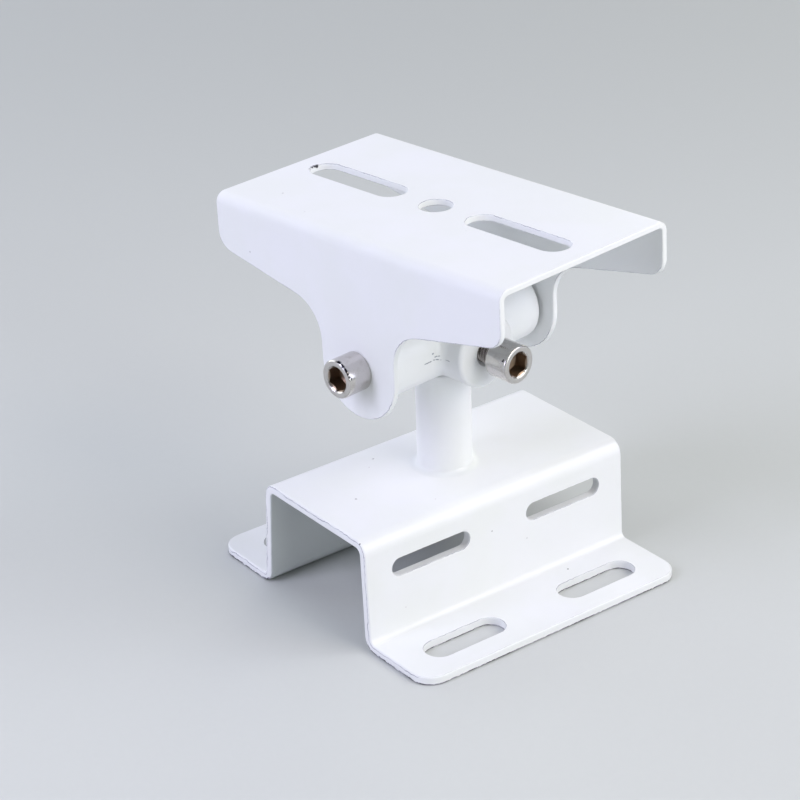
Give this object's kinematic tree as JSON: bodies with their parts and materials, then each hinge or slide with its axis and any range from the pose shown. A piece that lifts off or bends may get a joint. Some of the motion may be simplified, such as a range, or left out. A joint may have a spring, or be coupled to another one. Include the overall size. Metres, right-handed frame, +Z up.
{
  "type": "camera pole mount",
  "caption": "White powder-coated swivel mount: a folded, slotted foot bracket carries a post, a swivel tee and a tilting slotted saddle plate, locked by socket head screws.",
  "frame": {"origin": "on the mounting surface under the post, at the centre of the foot bracket's four slots", "axes": "+X along the foot bracket and its slots, +Z up along the post, +Y away from the pan lock screw's side"},
  "size_m": [0.0878, 0.1113, 0.108],
  "materials": {
    "powder_coat": "semi-gloss white powder coat with fine orange peel",
    "plated_screw": "turned and nickel plated"
  },
  "bodies": {
    "base": {"base_bracket": "powder_coat", "base_post": "powder_coat", "post_weld": "powder_coat"},
    "swivel": {"cross_bar": "powder_coat", "lock_arm": "powder_coat", "tilt_screw_near": "plated_screw", "tilt_screw_far": "plated_screw"},
    "saddle": {"saddle_plate": "powder_coat"},
    "lock_screw": {"pan_lock_screw": "plated_screw"}
  },
  "joints": [
    {"name": "pan_swivel", "type": "hinge", "parent": "base", "child": "swivel", "pos_m": [0, 0, 0.0703], "axis": [0, 0, 1], "continuous": true},
    {"name": "saddle_tilt", "type": "hinge", "parent": "swivel", "child": "saddle", "pos_m": [0, 0, 0.0703], "axis": [0.9938, 0.1115, 0], "range_deg": [-58.2, 61.8]},
    {"name": "lock_screw_travel", "type": "slide", "parent": "swivel", "child": "lock_screw", "axis": [0.1115, -0.9938, 0], "range_m": [0, 0.006]}
  ]
}
